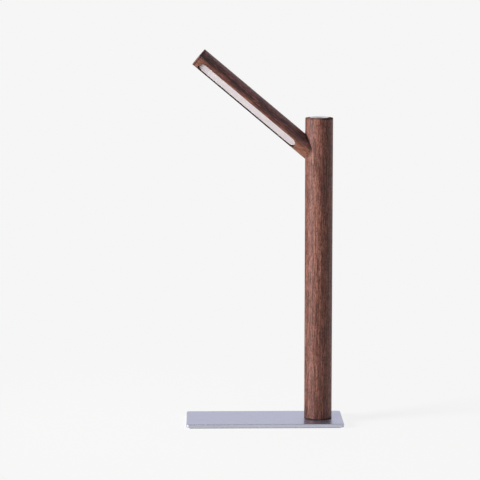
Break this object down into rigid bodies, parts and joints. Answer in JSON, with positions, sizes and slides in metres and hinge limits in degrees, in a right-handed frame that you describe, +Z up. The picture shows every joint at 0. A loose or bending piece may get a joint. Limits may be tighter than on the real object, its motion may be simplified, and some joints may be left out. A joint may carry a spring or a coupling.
{
  "type": "led desk lamp",
  "caption": "Slim walnut desk lamp: round post on a thin steel plate, slanting round arm that twists about its length with a recessed opal light strip, push button on the post's top.",
  "frame": {"origin": "centre of the base plate's outline, on the surface that the lamp stands on", "axes": "+Z up the post, -X the way the arm leans over the plate, -Y the front that the light slot is turned towards"},
  "size_m": [0.17, 0.07, 0.4059],
  "materials": {
    "walnut": "oiled walnut, satin",
    "plate_steel": "fine satin",
    "fastener_steel": "plain bright",
    "brass": "turned",
    "aluminium": "fine turned, clear anodised",
    "black_plastic": "moulded, fine grain",
    "foot_rubber": "matt sheet",
    "opal": "satin opal acrylic",
    "board_white": "white solder mask",
    "led_phosphor": "phosphor gel",
    "chip_black": "moulded",
    "lead_sheath": "soft sheath",
    "nylon": "natural nylon"
  },
  "bodies": {
    "stand": {"foot_pad": "foot_rubber", "base_plate": "plate_steel", "base_screws": "fastener_steel", "threaded_inserts": "brass", "post": "walnut", "power_jack": "black_plastic", "jack_pin": "fastener_steel", "jack_tags": "brass", "switch_lead": "lead_sheath", "led_lead_post": "lead_sheath", "swivel_housing": "brass", "switch_bezel": "aluminium", "switch_carrier": "black_plastic", "switch_body": "black_plastic", "switch_tags": "brass"},
    "arm": {"arm_stick": "walnut", "swivel_spigot": "fastener_steel", "thrust_washer": "nylon", "disc_spring": "fastener_steel", "circlip": "fastener_steel", "stop_pin": "fastener_steel", "heat_sink": "aluminium", "heat_sink_screws": "fastener_steel", "led_board": "board_white", "led_chips": "led_phosphor", "led_resistors": "chip_black", "diffuser": "opal", "led_lead_arm": "lead_sheath"},
    "button": {"button_cap": "aluminium", "switch_plunger": "nylon", "return_spring": "fastener_steel"}
  },
  "joints": [
    {"name": "arm_twist", "type": "hinge", "parent": "stand", "child": "arm", "pos_m": [0.0584, 0, 0.28947], "axis": [-0.766, 0, 0.6428], "range_deg": [-177.5, 92.5]},
    {"name": "button_press", "type": "slide", "parent": "stand", "child": "button", "axis": [0, 0, -1], "range_m": [0, 0.0015], "stiffness_N_per_m": 800, "springref_m": -0.0015, "deforming": ["return_spring"]}
  ]
}
